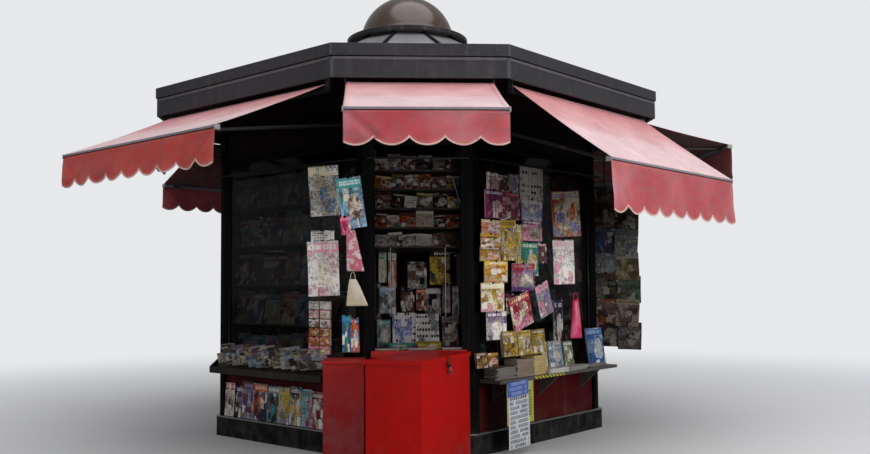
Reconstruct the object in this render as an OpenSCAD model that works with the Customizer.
// Street kiosk: a square plan with cut corners, wide eaves, roller awnings and a glazed roof light.
// Millimetres, Z up. The origin lies on the ground at the centre of the plan.
// The front is the cut corner that faces -Y. Walls are numbered 0 to 7 from there, anticlockwise.

/* [Plan] */
// Length of each short wall, across a cut corner
cut_w = 800; // [700:10:1000]
// Length of each long wall
main_w = 1700; // [1500:10:2000]
// Thickness of the framed wall
wall_t = 50; // [40:1:60]
// Length of a corner post along each of its two walls
post_leg = 55; // [45:1:65]
// Width of the bar beside each window
jamb_w = 30; // [20:1:40]

/* [Heights] */
// Top of the plinth and of the floor
floor_z = 150; // [120:5:200]
// Underside of the ceiling and the soffit
ceiling_z = 2700; // [2660:5:2780]
// Sill of the long walls
main_sill_z = 540; // [480:5:640]
// Sill of the short walls
cut_sill_z = 760; // [700:5:900]
// Underside of the rail over the windows
head_z = 2250; // [2150:5:2320]
// Depth of the sill and head rails
rail_h = 40; // [30:1:60]

/* [Plinth and floor] */
// Thickness of the plinth panels
plinth_t = 25; // [15:1:40]
// Height of the metal strip on the plinth
strip_h = 11; // [6:1:16]
// How far the metal strip stands proud of the plinth
strip_out = 4; // [2:1:8]
// Thickness of the floor boards
deck_t = 30; // [20:1:40]
// Width of each floor joist
joist_w = 80; // [60:5:100]
// Number of floor joists
joist_count = 5; // [3:2:7]
// Thickness of the lower and upper wall panels
panel_t = 20; // [12:1:25]
// Thickness of the window glass
glass_t = 6; // [4:1:8]

/* [Roof] */
// How far the eaves stand out from the walls
eave_out = 490; // [440:5:540]
// Underside of the fascia
fascia_z = 2630; // [2622:1:2650]
// Height of the lower fascia band
fascia_low_h = 142; // [120:1:160]
// Height of the shadow groove between the bands
groove_h = 8; // [5:1:12]
// Height of the upper fascia band
fascia_up_h = 85; // [70:1:100]
// Thickness of the lower fascia band
fascia_t = 25; // [18:1:30]
// How far the upper band stands proud of the lower
fascia_step = 10; // [4:1:16]
// Thickness of the board behind the fascia
backing_t = 15; // [10:1:18]
// Rise of the roof from the eaves to the roof light
roof_rise = 200; // [150:5:240]
// Thickness of the roof sheet
roof_t = 15; // [10:1:20]
// Thickness of the ceiling board
ceiling_t = 15; // [10:1:20]

/* [Roof light] */
// Corner radius of the twelve-sided kerb
kerb_r = 1050; // [950:5:1065]
// Thickness of the kerb
kerb_t = 40; // [25:1:50]
// Height of the kerb above the flat of the roof
kerb_up = 55; // [35:1:80]
// Corner radius of the glazed skirt at its top
skirt_r = 470; // [440:1:520]
// Rise of the glazed skirt
skirt_rise = 295; // [240:5:330]
// Thickness of a skirt pane
pane_t = 5; // [4:1:8]
// Width of a glazing rib
rib_w = 24; // [16:1:32]
// Depth of a glazing rib
rib_h = 34; // [24:1:40]
// Outer radius of the dark ring under the dome
ring_r = 545; // [530:1:580]
// Inner radius of that ring
ring_in_r = 400; // [380:1:410]
// Height of that ring
ring_h = 55; // [40:1:70]
// Radius of the dome at its foot
dome_r = 420; // [415:1:440]
// Height of the dome
dome_h = 385; // [300:5:410]
// Thickness of the dome shell
dome_t = 6; // [4:1:10]

/* [Awnings] */
// Width of an awning on a long wall
main_awning_w = 1880; // [1600:10:1900]
// Width of an awning on a short wall
cut_awning_w = 1010; // [900:10:1020]
// Radius of the cloth roll
roller_r = 30; // [20:1:32]
// Height of the middle of the cloth roll
roller_z = 2580; // [2560:1:2585]
// Thickness of the awning cloth
cloth_t = 4; // [3:1:6]
// Depth of the front bar
bar_d = 34; // [24:1:44]
// Height of the front bar
bar_h = 26; // [20:1:36]
// Radius of an awning arm
arm_r = 12; // [8:1:16]
// Height of the arm brackets on the posts
arm_z = 2400; // [2300:5:2500]
// Width aimed at for one scallop
scallop_w = 206; // [150:1:260]
// Depth of a scallop
scallop_d = 48; // [30:1:80]
// Reach of the front awning from its wall
front_out = 1120; // [800:5:1200]
// Height of the front awning bar
front_bar_z = 2292; // [2200:1:2400]
// Drop of the front valance
front_drop = 223; // [180:1:300]
// Reach of the right awning
right_out = 1185; // [900:5:1250]
// Height of the right awning bar
right_bar_z = 2022; // [1950:1:2300]
// Drop of the right valance
right_drop = 343; // [200:1:400]
// Reach of the left awning
left_out = 1325; // [900:5:1400]
// Height of the left awning bar
left_bar_z = 2202; // [2000:1:2350]
// Drop of the left valance
left_drop = 238; // [200:1:400]
// Reach of the awning on the right end wall
end_out = 1180; // [900:5:1250]
// Height of the bar on the right end wall
end_bar_z = 2405; // [2250:1:2420]
// Drop of the valance on the right end wall
end_drop = 288; // [200:1:360]
// Reach of the two awnings on the back
back_out = 1050; // [900:5:1250]
// Height of the bars on the back
back_bar_z = 2240; // [2100:1:2350]
// Drop of the valances on the back
back_drop = 238; // [200:1:360]
// Reach of the nearly closed awning on the left end wall
short_out = 640; // [600:5:800]
// Height of its bar
short_bar_z = 2500; // [2450:1:2520]
// Drop of its valance
short_drop = 223; // [200:1:300]

/* [Counter and rack] */
// Reach of the counter on the right wall
counter_out = 190; // [120:5:260]
// Thickness of the counter board
counter_t = 24; // [16:1:30]
// How far the counter runs past the far corner
counter_past = 0; // [0:5:160]
// Depth of the serving shelf behind the front sill
serving_d = 300; // [200:5:400]
// Reach of the sloping rack on the left wall
rack_out = 230; // [160:5:280]
// Rise of the sloping rack
rack_rise = 205; // [140:5:240]
// How far the rack stays inside the far post
rack_in = 135; // [0:5:200]
// Thickness of the rack boards
rack_t = 15; // [10:1:20]
// Depth of a display shelf
shelf_d = 120; // [80:5:150]
// Thickness of a display shelf
shelf_t = 12; // [8:1:16]
// Backward tilt of a display shelf in degrees
shelf_tilt = 14; // [5:1:20]
// Number of display shelves in a closed window
shelf_count = 5; // [3:1:6]
// Number of display shelves over the serving opening
front_shelf_count = 5; // [2:1:6]
// Lowest display shelf over the serving opening
front_shelf_z = 1500; // [1450:5:1600]
// Radius of the rails that goods hang from
rail_r = 8; // [6:1:10]
// Height of those rails
hang_z = 2140; // [2000:5:2200]
// How far those rails stand off the wall
hang_out = 70; // [50:5:90]

/* [Door] */
// Thickness of the door leaf
door_t = 40; // [30:1:45]
// Gap around the door leaf
door_gap = 3; // [2:1:5]
// Height of the door handle
handle_z = 1050; // [950:5:1150]

/* [Chest and cabinet] */
// Width of the chest body
chest_w = 384; // [340:1:420]
// Length of the chest body
chest_l = 824; // [700:1:860]
// Height of the chest body
chest_h = 758; // [650:1:790]
// Sheet thickness of the chest
chest_t = 3; // [2:1:5]
// Clearance between the lid and the chest
lid_gap = 5; // [5:0.5:8]
// Depth of the lid rim
lid_rim = 30; // [24:1:40]
// Turn of the chest away from square to the front, in degrees
chest_turn = 27; // [20:1:30]
// Place of the near corner of the chest, across the front
chest_x = -35; // [-80:1:0]
// Distance of the near corner of the chest from the front wall
chest_out = 995; // [990:1:1100]
// Radius of the lid hinge pin
pin_r = 4; // [3:0.5:5]
// Width of the side cabinet
cabinet_w = 278; // [240:1:300]
// Depth of the side cabinet
cabinet_d = 290; // [240:1:320]
// Height of the side cabinet under its lid
cabinet_h = 700; // [640:1:740]
// Thickness of the cabinet lid
cabinet_lid_t = 20; // [10:1:30]

/* [Hidden] */
$fn = 64;

wall_count = 8;
turn = 360 / wall_count;
mitre = tan(turn / 2);
front_wall = 0;
door_wall = 4;
cut_dist = main_w / sqrt(2) + cut_w / 2;
main_dist = main_w / 2 + cut_w / sqrt(2);
all_walls = [0:wall_count - 1];
window_walls = [0, 1, 2, 3, 5, 6, 7];
glazed_walls = [1, 2, 3, 5, 6, 7];
touch_gap = 0.5;
fit_gap = 0.2;
soft_gap = 0.3;
cut_past = 1;

fascia_groove_z = fascia_z + fascia_low_h;
fascia_up_z = fascia_groove_z + groove_h;
fascia_top_z = fascia_up_z + fascia_up_h;
backing_out = eave_out - fascia_t;
backing_in = backing_out - backing_t;
backing_up = 10;
backing_z = fascia_z + backing_up;
upstand_h = 20;
roof_foot_z = fascia_top_z - upstand_h;
roof_flat_z = roof_foot_z + roof_rise;
kerb_margin = 15;
roof_top_off = kerb_r + kerb_margin - main_dist;
roller_out = backing_in - roller_r;
kerb_top_z = roof_flat_z + kerb_up;
skirt_top_z = kerb_top_z + skirt_rise;
dome_foot_z = skirt_top_z + ring_h;
skirt_sides = 12;
skirt_half = 180 / skirt_sides;

left_wall = 7;
right_wall = 1;
hung_walls = [left_wall, front_wall, right_wall];
awning_walls = window_walls;

barrel_wall = 3;
barrel_r = pin_r + barrel_wall;
rim_out = lid_gap + chest_t;
barrel_gap = 1;
hinge_x = -rim_out - barrel_r - barrel_gap;
lid_foot_z = chest_h + lid_gap + chest_t - lid_rim;
hinge_z = lid_foot_z;
lug_w = 30;
lug_t = 12;
knuckle_w = 16;
knuckle_gap = 1;
pin_past = 2;
hinge_ys = [0.2, 0.8] * chest_l;

hasp_x = chest_w + rim_out;
hasp_y = chest_l * 0.5;
hasp_t = 3;
hasp_w = 28;
hasp_past = 18;
eye_t = 4;
eye_out = 16;
eye_r = 5;
eye_drop = 32;
eye_z = lid_foot_z - eye_drop;

cabinet_back = 8;
cabinet_x = -cut_w / 2 + cabinet_back - cabinet_w;
cabinet_back_y = -(cut_dist + plinth_t + strip_out);
cabinet_lid_out = 10;
shelf_foot = 60;
shelf_back = 8;
rack_clear = 20;
rack_left = rack_in - (main_w / 2 - post_leg + rack_t);
rack_right = (cabinet_x - cabinet_lid_out - cabinet_back_y) / sqrt(2) - rack_clear;

function is_cut(k) = k % 2 == 0;
function wall_len(k) = is_cut(k) ? cut_w : main_w;
function wall_dist(k) = is_cut(k) ? cut_dist : main_dist;
function bay(k) = wall_len(k) - 2 * (post_leg + fit_gap);
function clear_w(k) = bay(k) - 2 * jamb_w;
function sill_z(k) = is_cut(k) ? cut_sill_z : main_sill_z;
function plan_corner(k, off) =
  let (a = turn * k, x = wall_len(k) / 2 + off * mitre, y = -(wall_dist(k) + off))
  [x * cos(a) - y * sin(a), x * sin(a) + y * cos(a)];
function plan_outline(off) = [for (k = all_walls) plan_corner(k, off)];

// Puts a piece on a wall: x runs along the wall, -y points out of it
module on_wall(k) {
  rotate([0, 0, turn * k]) translate([0, -wall_dist(k), 0]) children();
}

// A straight bar or board on a wall, between two distances out from the wall face
module wall_box(k, w, out0, out1, z0, z1, x0 = 0) {
  on_wall(k) translate([x0 - w / 2, -out1, z0]) cube([w, out1 - out0, z1 - z0]);
}

// A board that runs the length of a wall, with its ends mitred into the next walls
module mitred_board(k, out0, out1, z0, z1) {
  half0 = wall_len(k) / 2 + out0 * mitre - touch_gap / 2;
  half1 = wall_len(k) / 2 + out1 * mitre - touch_gap / 2;
  on_wall(k) translate([0, 0, z0]) linear_extrude(z1 - z0)
    polygon([[-half0, -out0], [-half1, -out1], [half1, -out1], [half0, -out0]]);
}

// Draws an outline given as (distance out, height) and runs it along the wall
module run_along(w) {
  rotate([90, 0, -90]) linear_extrude(w, center = true) children();
}

module post_outline() {
  polygon([
    [-post_leg, 0], [0, 0], [post_leg * cos(turn), post_leg * sin(turn)],
    [post_leg * cos(turn) - wall_t * sin(turn), post_leg * sin(turn) + wall_t * cos(turn)],
    [-post_leg, wall_t]
  ]);
}

module posts(h) {
  for (k = all_walls) on_wall(k) translate([wall_len(k) / 2, 0, 0]) linear_extrude(h) post_outline();
}

// Sole rails between the posts, and joists across the plan
module floor_frame() {
  color("dimgray") {
    for (k = all_walls) wall_box(k, bay(k), -wall_t, 0, 0, floor_z);
    reach = 2 * (main_dist - wall_t) / joist_count;
    for (i = [0:joist_count - 1]) {
      x = (i - (joist_count - 1) / 2) * reach;
      room = min(cut_dist, sqrt(2) * main_dist - abs(x) - joist_w / 2) - 2 * wall_t;
      translate([x - joist_w / 2, -room, 0]) cube([joist_w, 2 * room, floor_z - deck_t]);
    }
  }
}

module floor_deck() {
  color("saddlebrown") difference() {
    translate([0, 0, floor_z - deck_t]) linear_extrude(deck_t) polygon(plan_outline(-wall_t));
    translate([0, 0, -cut_past]) posts(floor_z + 2 * cut_past);
  }
}

module corner_posts() {
  color("#1c1a1b") posts(ceiling_z);
}

module plinth_panels() {
  color("#161617") for (k = all_walls) mitred_board(k, fit_gap, plinth_t, 0, floor_z);
}

module plinth_strip() {
  color("#8d8f92") for (k = all_walls)
    mitred_board(k, fit_gap, plinth_t + strip_out, floor_z, floor_z + strip_h);
}

module lower_panels() {
  color("#5c1015") for (k = window_walls)
    wall_box(k, bay(k), -wall_t, -wall_t + panel_t, floor_z, sill_z(k) - rail_h);
}

module sill_rails() {
  color("#222021") for (k = window_walls)
    wall_box(k, bay(k), -wall_t, 0, sill_z(k) - rail_h, sill_z(k));
}

module window_jambs() {
  set_back = 5;
  color("#222021") for (k = all_walls) for (s = [-1, 1]) {
    foot_z = k == door_wall ? floor_z : sill_z(k);
    wall_box(k, jamb_w, -wall_t, -set_back, foot_z, head_z, s * (bay(k) - jamb_w) / 2);
  }
}

module window_glass() {
  color("lightsteelblue", 0.4) for (k = glazed_walls)
    wall_box(k, clear_w(k), -wall_t / 2 - glass_t, -wall_t / 2, sill_z(k), head_z);
}

module head_rails() {
  color("#222021") for (k = all_walls) wall_box(k, bay(k), -wall_t, 0, head_z, head_z + rail_h);
}

module header_panels() {
  inset = 10;
  color("#3a0d12") for (k = all_walls)
    wall_box(k, bay(k), -wall_t + inset, -wall_t + inset + panel_t, head_z + rail_h,
             ceiling_z - fit_gap);
}

// Two shallow panels are pressed into the outer face
module door_leaf() {
  leaf_w = clear_w(door_wall) - 2 * door_gap;
  stile_w = 80;
  foot_rail = 120;
  mid_rail = 60;
  panel_h = (head_z - floor_z) / 2 - foot_rail - mid_rail;
  panel_d = 6;
  face = -wall_t + door_t;
  color("#4a4c50") difference() {
    wall_box(door_wall, leaf_w, -wall_t, face, floor_z, head_z - door_gap);
    for (z = [floor_z + foot_rail, (floor_z + head_z) / 2 + mid_rail])
      wall_box(door_wall, leaf_w - 2 * stile_w, face - panel_d, face + cut_past, z, z + panel_h);
  }
}

// A bow handle with a round grip
module door_handle() {
  grip = 180;
  grip_r = 9;
  from_edge = 50;
  stand_off = 45;
  foot = 12;
  foot_in = 15;
  x = -(clear_w(door_wall) / 2 - from_edge);
  face = -wall_t + door_t;
  color("silver") union() {
    on_wall(door_wall) translate([x, -face - stand_off, handle_z]) cylinder(h = grip, r = grip_r);
    for (z = [handle_z + foot_in, handle_z + grip - foot_in - foot])
      wall_box(door_wall, foot, face, face + stand_off, z, z + foot, x);
  }
}

// One board is the ceiling inside and the soffit outside
module ceiling() {
  color("#35161a") difference() {
    translate([0, 0, ceiling_z]) linear_extrude(ceiling_t) polygon(plan_outline(backing_in));
    translate([0, 0, ceiling_z - cut_past]) kerb_prism(kerb_r - kerb_t, ceiling_t + 2 * cut_past);
  }
}

module fascia_backing() {
  color("#121213") for (k = all_walls)
    mitred_board(k, backing_in, backing_out, backing_z, roof_foot_z - fit_gap);
}

module fascia_lower() {
  color("#454349") for (k = all_walls)
    mitred_board(k, backing_out, eave_out, fascia_z, fascia_groove_z);
}

module fascia_upper() {
  color("#45434a") for (k = all_walls)
    mitred_board(k, backing_out, eave_out + fascia_step, fascia_up_z, fascia_top_z);
}

// A solid between two plan outlines at two heights
module plan_frustum(off0, z0, off1, z1) {
  n = wall_count;
  low = [for (p = plan_outline(off0)) [p[0], p[1], z0]];
  high = [for (p = plan_outline(off1)) [p[0], p[1], z1]];
  sides = [for (i = [0:n - 1]) [i, (i + n - 1) % n, (i + n - 1) % n + n, i + n]];
  polyhedron(concat(low, high), concat([[for (i = [0:n - 1]) i], [for (i = [n - 1:-1:0]) i + n]], sides));
}

module roof_deck() {
  edge_off = backing_out - 1;
  color("#3b3d40") difference() {
    plan_frustum(edge_off, roof_foot_z, roof_top_off, roof_flat_z);
    translate([0, 0, -roof_t]) plan_frustum(edge_off, roof_foot_z, roof_top_off, roof_flat_z);
    translate([0, 0, roof_foot_z]) kerb_prism(kerb_r, roof_rise + cut_past);
  }
}

module kerb_prism(r, h) {
  rotate([0, 0, skirt_half]) linear_extrude(h) circle(r = r, $fn = skirt_sides);
}

// The kerb lines the light well from the ceiling up to the foot of the glazing
module roof_light_kerb() {
  color("#2e2f31") difference() {
    translate([0, 0, ceiling_z + ceiling_t]) kerb_prism(kerb_r, kerb_top_z - ceiling_z - ceiling_t);
    translate([0, 0, ceiling_z]) kerb_prism(kerb_r - kerb_t, kerb_top_z - ceiling_z + cut_past);
  }
}

module skirt_slice() {
  translate([0, 0, kerb_top_z]) cylinder(h = skirt_rise, r = kerb_r + rib_h);
}

module rib(i) {
  tilt = atan(skirt_rise / (kerb_r - skirt_r));
  run = (kerb_r - skirt_r) / cos(tilt);
  rotate([0, 0, (2 * i + 1) * skirt_half]) translate([skirt_r, 0, skirt_top_z]) rotate([0, tilt, 0])
    translate([-rib_h, -rib_w / 2, -rib_h / 2]) cube([run + rib_h, rib_w, rib_h]);
}

module roof_light_ribs() {
  color("#1d1d1f") for (i = [0:skirt_sides - 1]) intersection() {
    rib(i);
    skirt_slice();
  }
}

module pane() {
  foot = kerb_r * cos(skirt_half);
  top = skirt_r * cos(skirt_half);
  slope = sqrt(pow(foot - top, 2) + pow(skirt_rise, 2));
  half0 = kerb_r * sin(skirt_half);
  half1 = skirt_r * sin(skirt_half);
  translate([foot, 0, kerb_top_z]) rotate([0, 0, 90]) rotate([atan(skirt_rise / (foot - top)), 0, 0])
    linear_extrude(pane_t, center = true)
      polygon([[-half0, 0], [half0, 0], [half1, slope], [-half1, slope]]);
}

module roof_light_panes() {
  color("#c9ccd0", 0.6) for (i = [0:skirt_sides - 1]) intersection() {
    difference() {
      rotate([0, 0, 2 * (i + 1) * skirt_half]) pane();
      rib(i);
      rib(i + 1);
    }
    skirt_slice();
  }
}

module dome_ring() {
  lip = 12;
  color("#2a2523") translate([0, 0, skirt_top_z]) rotate_extrude() polygon([
    [ring_in_r, 0], [ring_r - lip, 0], [ring_r, lip], [ring_r, ring_h - lip],
    [ring_r - 2 * lip, ring_h], [ring_in_r, ring_h]
  ]);
}

module dome() {
  ball_r = (dome_r * dome_r + dome_h * dome_h) / (2 * dome_h);
  color("#5a4535") translate([0, 0, dome_foot_z]) rotate_extrude($fn = 96) intersection() {
    translate([0, dome_h - ball_r]) difference() {
      circle(r = ball_r);
      circle(r = ball_r - dome_t);
    }
    square([dome_r + cut_past, dome_h + cut_past]);
  }
}

function awning_w(k) = is_cut(k) ? cut_awning_w : main_awning_w;
function awning_out(k) = [front_out, right_out, end_out, back_out, 0, back_out, short_out, left_out][k];
function bar_z(k) =
  [front_bar_z, right_bar_z, end_bar_z, back_bar_z, 0, back_bar_z, short_bar_z, left_bar_z][k];
function drop(k) = [front_drop, right_drop, end_drop, back_drop, 0, back_drop, short_drop, left_drop][k];

// Cloth rolls under the soffit, each hung from two end plates
module awning_rollers() {
  plate_t = 8;
  plate_w = 40;
  color("#3b3b3e") for (k = awning_walls) union() {
    on_wall(k) translate([0, -roller_out, roller_z]) rotate([0, 90, 0])
      cylinder(h = awning_w(k), r = roller_r, center = true);
    for (s = [-1, 1])
      wall_box(k, plate_t, roller_out - plate_w / 2, roller_out + plate_w / 2, roller_z - plate_w / 2,
               ceiling_z, s * (awning_w(k) + plate_t) / 2);
  }
}

module awning_bars() {
  color("#9a9a9e") for (k = awning_walls) {
    o = awning_out(k);
    wall_box(k, awning_w(k), o - bar_d / 2, o + bar_d / 2, bar_z(k) - bar_h / 2, bar_z(k) + bar_h / 2);
  }
}

// Two straight arms hold each bar out from the corner posts
module awning_arms() {
  foot_d = 26;
  foot_h = 60;
  foot_w = 2 * arm_r + 8;
  knuckle_d = 24;
  knuckle_wide = 2 * arm_r + 4;
  color("#55565a") for (k = awning_walls) for (s = [-1, 1]) union() {
    x = s * (wall_len(k) / 2 - foot_w);
    knuckle_out = awning_out(k) - bar_d / 2 - knuckle_d / 2;
    run = knuckle_out - foot_d / 2;
    rise = bar_z(k) - arm_z;
    wall_box(k, foot_w, fit_gap, foot_d, arm_z - foot_h / 2, arm_z + foot_h / 2, x);
    wall_box(k, knuckle_wide, knuckle_out - knuckle_d / 2, knuckle_out + knuckle_d / 2,
             bar_z(k) - bar_h / 2, bar_z(k) + bar_h / 2, x);
    on_wall(k) translate([x, -foot_d / 2, arm_z]) rotate([90 - atan(rise / run), 0, 0])
      cylinder(h = sqrt(run * run + rise * rise), r = arm_r);
  }
}

// The cloth runs off the top of the roll, over the bar, and hangs down in front as a scalloped valance
module awning_cloth(k) {
  w = awning_w(k);
  lip = [awning_out(k) + bar_d / 2 + soft_gap, bar_z(k) + bar_h / 2 + soft_gap];
  span = [lip[0] - roller_out, roller_z - lip[1]];
  reach = norm(span);
  slope = atan(span[1] / span[0]) + asin((roller_r + soft_gap) / reach);
  run = sqrt(reach * reach - pow(roller_r + soft_gap, 2));
  n = round(w / scallop_w);
  pitch = w / n;
  arc_r = (pitch * pitch / 4 + scallop_d * scallop_d) / (2 * scallop_d);
  cusp_z = bar_z(k) - drop(k) + scallop_d;
  union() {
    on_wall(k) run_along(w) polygon([
      lip, [lip[0] - run * cos(slope), lip[1] + run * sin(slope)],
      [lip[0] - run * cos(slope) + cloth_t * sin(slope), lip[1] + run * sin(slope) + cloth_t * cos(slope)],
      [lip[0] + cloth_t, lip[1] + cloth_t]
    ]);
    on_wall(k) translate([0, -lip[0], 0]) rotate([90, 0, 0]) linear_extrude(cloth_t) {
      translate([-w / 2, cusp_z]) square([w, lip[1] + cloth_t - cusp_z]);
      for (i = [0:n - 1]) intersection() {
        translate([(i + 0.5) * pitch - w / 2, cusp_z - scallop_d + arc_r]) circle(r = arc_r);
        translate([i * pitch - w / 2, cusp_z - scallop_d - cut_past])
          square([pitch, scallop_d + 2 * cut_past]);
      }
    }
  }
}

module awning_cloth_front() {
  color("#d98b8d") awning_cloth(0);
}

module awning_cloth_right() {
  color("#d98b8d") awning_cloth(1);
}

module awning_cloth_right_end() {
  color("#d98b8d") awning_cloth(2);
}

module awning_cloth_back_right() {
  color("#d98b8d") awning_cloth(3);
}

module awning_cloth_back_left() {
  color("#d98b8d") awning_cloth(5);
}

module awning_cloth_left_end() {
  color("#d98b8d") awning_cloth(6);
}

module awning_cloth_left() {
  color("#d98b8d") awning_cloth(7);
}

// A shelf outside the right wall, on three brackets
module counter() {
  bracket_t = 16;
  bracket_h = 150;
  bracket_in = 20;
  bracket_places = [-0.38, 0, 0.38];
  left_end = -bay(right_wall) / 2;
  right_end = wall_len(right_wall) / 2 + counter_past;
  panel_out = -wall_t + panel_t;
  top_z = main_sill_z;
  color("#6e6a66") union() {
    wall_box(right_wall, right_end - left_end, 0, counter_out, top_z - counter_t, top_z,
             (left_end + right_end) / 2);
    for (x = bracket_places * bay(right_wall))
      on_wall(right_wall) translate([x, 0, 0]) run_along(bracket_t) polygon([
        [0, top_z - counter_t], [counter_out - bracket_in, top_z - counter_t],
        [panel_out, top_z - rail_h - bracket_h], [panel_out, top_z - rail_h], [0, top_z - rail_h]
      ]);
  }
}

// The newsagent's shelf, level with the front sill and behind it, on two brackets
module serving_shelf() {
  bracket_t = 16;
  bracket_h = 180;
  bracket_in = 40;
  bracket_places = [-0.35, 0.35];
  back = -wall_t - fit_gap;
  low_z = cut_sill_z - counter_t;
  color("#6e6a66") union() {
    wall_box(front_wall, clear_w(front_wall), back - serving_d, back, low_z, cut_sill_z);
    for (x = bracket_places * clear_w(front_wall))
      on_wall(front_wall) translate([x, 0, 0]) run_along(bracket_t)
        polygon([[back, low_z - bracket_h], [back, low_z], [back - serving_d + bracket_in, low_z]]);
  }
}

// Sloping rack outside the left wall: two cheeks, a sloping board and a front lip
module magazine_rack() {
  foot_z = main_sill_z;
  top_z = foot_z + rack_rise;
  w = rack_right - rack_left;
  lip_h = 50;
  skirt_h = 30;
  cap_d = 20;
  board_foot = 15;
  color("#4b4036") union() {
    for (x = [rack_left + rack_t / 2, rack_right - rack_t / 2])
      on_wall(left_wall) translate([x, 0, 0]) run_along(rack_t) polygon([
        [0, foot_z - skirt_h], [0, top_z], [cap_d, top_z], [rack_out, foot_z + lip_h], [rack_out, foot_z]
      ]);
    on_wall(left_wall) translate([(rack_left + rack_right) / 2, 0, 0]) run_along(w - rack_t) polygon([
      [0, top_z - rack_t], [0, top_z], [cap_d, top_z - rack_t / 3],
      [rack_out - rack_t, foot_z + board_foot], [rack_out - rack_t, foot_z + lip_h],
      [rack_out, foot_z + lip_h], [rack_out, foot_z], [rack_out - rack_t, foot_z]
    ]);
  }
}

function shelf_step(k) = (head_z - sill_z(k)) / (shelf_count + 0.4);
function shelf_heights(k) = k == front_wall
  ? [for (i = [0:front_shelf_count - 1])
      front_shelf_z + i * (head_z - front_shelf_z - shelf_d) / (front_shelf_count - 0.5)]
  : [for (i = [0:shelf_count - 1]) sill_z(k) + shelf_foot + i * shelf_step(k)];

// Ledges behind the windows, tilted back, each between two uprights
module display_shelves() {
  color("#57524d") for (k = window_walls) for (z = shelf_heights(k))
    on_wall(k) translate([-clear_w(k) / 2, wall_t + shelf_back, z]) rotate([-shelf_tilt, 0, 0])
      cube([clear_w(k), shelf_d, shelf_t]);
}

module shelf_uprights() {
  upright_d = 30;
  color("#3a3836") for (k = window_walls) for (s = [-1, 1]) {
    foot_z = k == front_wall ? front_shelf_z - shelf_foot : sill_z(k);
    wall_box(k, jamb_w, -wall_t - upright_d, -wall_t, foot_z, head_z, s * (bay(k) - jamb_w) / 2);
  }
}

// Round rails on short pegs, for the goods that hang outside
module hanging_rails() {
  peg_r = rail_r * 0.75;
  color("#8a8a8c") for (k = hung_walls) union() {
    w = wall_len(k) - post_leg;
    on_wall(k) translate([0, -hang_out, hang_z]) rotate([0, 90, 0])
      cylinder(h = w, r = rail_r, center = true);
    for (s = [-1, 1]) on_wall(k) translate([s * (w - 2 * rail_r) / 2, 0, hang_z]) rotate([90, 0, 0])
      cylinder(h = hang_out, r = peg_r);
  }
}

// The chest stands turned in front of the serving opening: x across it, y along it, from its near corner
module on_chest() {
  translate([chest_x, -(cut_dist + chest_out), 0]) rotate([0, 0, -chest_turn])
    translate([-chest_w - lid_gap - chest_t, lid_gap + chest_t, 0]) children();
}

module hinge_rod(r, y0, y1) {
  translate([hinge_x, y0, hinge_z]) rotate([-90, 0, 0]) cylinder(h = y1 - y0, r = r);
}

// An open steel box with two hinge lugs on its far long side; each lug carries a pin
module chest_body() {
  arm_top_z = hinge_z - lid_gap;
  arm_foot_z = arm_top_z - lug_t;
  pin_half = lug_w / 2 + knuckle_gap + knuckle_w + pin_past;
  color("#8f1512") on_chest() union() {
    difference() {
      cube([chest_w, chest_l, chest_h]);
      translate([chest_t, chest_t, chest_t])
        cube([chest_w - 2 * chest_t, chest_l - 2 * chest_t, chest_h]);
    }
    for (y = hinge_ys) {
      translate([hinge_x, y - lug_w / 2, arm_foot_z]) cube([-hinge_x, lug_w, arm_top_z - arm_foot_z]);
      translate([hinge_x - barrel_r, y - lug_w / 2, arm_foot_z])
        cube([2 * barrel_r, lug_w, hinge_z - arm_foot_z]);
      hinge_rod(barrel_r, y - lug_w / 2, y + lug_w / 2);
      hinge_rod(pin_r, y - pin_half, y + pin_half);
    }
  }
}

// A shallow cap whose knuckles turn on the pins
module chest_lid() {
  top_z = chest_h + lid_gap;
  color("#a01a16") on_chest() difference() {
    union() {
      difference() {
        translate([-rim_out, -rim_out, lid_foot_z])
          cube([chest_w + 2 * rim_out, chest_l + 2 * rim_out, lid_rim]);
        translate([-lid_gap, -lid_gap, lid_foot_z - cut_past])
          cube([chest_w + 2 * lid_gap, chest_l + 2 * lid_gap, top_z - lid_foot_z + cut_past]);
      }
      for (y = hinge_ys) for (s = [-1, 1]) {
        y0 = y + s * (lug_w / 2 + knuckle_gap + knuckle_w / 2) - knuckle_w / 2;
        hinge_rod(barrel_r, y0, y0 + knuckle_w);
        translate([hinge_x, y0, hinge_z]) cube([-rim_out - hinge_x, knuckle_w, barrel_r]);
      }
    }
    for (y = hinge_ys) hinge_rod(pin_r + soft_gap, y - 2 * lug_w, y + 2 * lug_w);
  }
}

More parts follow.
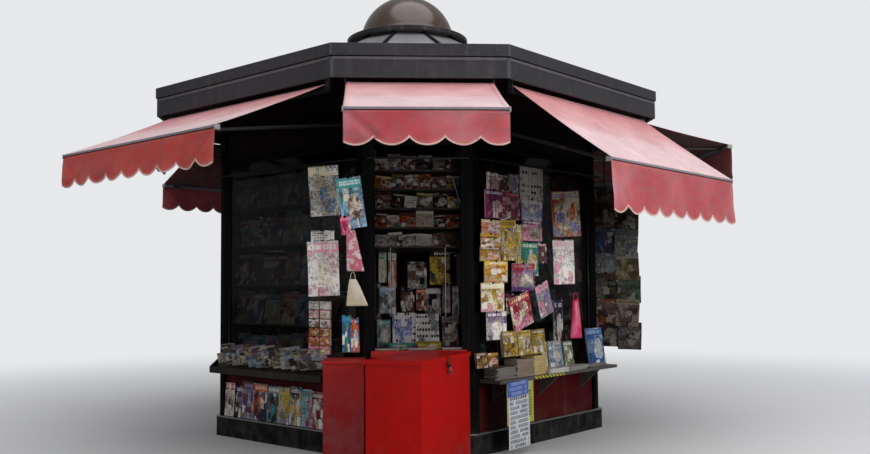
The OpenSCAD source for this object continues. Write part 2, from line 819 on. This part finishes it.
// A flat strap down the near rim of the lid, with a standing eye near its foot
module lid_hasp() {
  foot_z = eye_z - hasp_past;
  plate_r = 2 * eye_r;
  color("#6b6a68") on_chest() union() {
    translate([hasp_x, hasp_y - hasp_w / 2, foot_z])
      cube([hasp_t, hasp_w, lid_foot_z + lid_rim - hasp_t - foot_z]);
    translate([hasp_x, hasp_y + eye_t / 2, eye_z]) rotate([90, 0, 0]) linear_extrude(eye_t) difference() {
      union() {
        translate([0, -plate_r]) square([hasp_t + eye_out, 2 * plate_r]);
        translate([hasp_t + eye_out, 0]) circle(r = plate_r);
      }
      translate([hasp_t + eye_out, 0]) circle(r = eye_r);
    }
  }
}

// The padlock hangs by its shackle from the eye
module padlock() {
  wire_r = 2.5;
  bow_r = 9;
  leg = 16;
  lock = [13, 30, 26];
  bow_z = eye_z - eye_r + soft_gap + wire_r - bow_r;
  color("#b9b9ba") on_chest() translate([hasp_x + hasp_t + eye_out, hasp_y, bow_z]) union() {
    rotate([90, 0, 90]) rotate_extrude(angle = 180) translate([bow_r, 0]) circle(r = wire_r);
    for (s = [-1, 1]) translate([0, s * bow_r, -leg]) cylinder(h = leg, r = wire_r);
    translate([-lock[0] / 2, -lock[1] / 2, -leg - lock[2]]) cube(lock);
  }
}

// A closed steel locker against the left post of the front
module side_cabinet() {
  color("#7a2228") translate([cabinet_x, cabinet_back_y - cabinet_d, 0]) difference() {
    cube([cabinet_w, cabinet_d, cabinet_h]);
    translate([chest_t, chest_t, chest_t])
      cube([cabinet_w - 2 * chest_t, cabinet_d - 2 * chest_t, cabinet_h]);
  }
}

module side_cabinet_lid() {
  color("#7a2228")
    translate([cabinet_x - cabinet_lid_out, cabinet_back_y - cabinet_d - cabinet_lid_out, cabinet_h])
      cube([cabinet_w + 2 * cabinet_lid_out, cabinet_d + cabinet_lid_out, cabinet_lid_t]);
}

floor_frame();
floor_deck();
corner_posts();
plinth_panels();
plinth_strip();
lower_panels();
sill_rails();
window_jambs();
window_glass();
head_rails();
header_panels();
door_leaf();
door_handle();
ceiling();
fascia_backing();
fascia_lower();
fascia_upper();
roof_deck();
roof_light_kerb();
roof_light_ribs();
roof_light_panes();
dome_ring();
dome();
awning_rollers();
awning_bars();
awning_arms();
awning_cloth_front();
awning_cloth_right();
awning_cloth_right_end();
awning_cloth_back_right();
awning_cloth_back_left();
awning_cloth_left_end();
awning_cloth_left();
counter();
serving_shelf();
magazine_rack();
display_shelves();
shelf_uprights();
hanging_rails();
chest_body();
chest_lid();
lid_hasp();
padlock();
side_cabinet();
side_cabinet_lid();
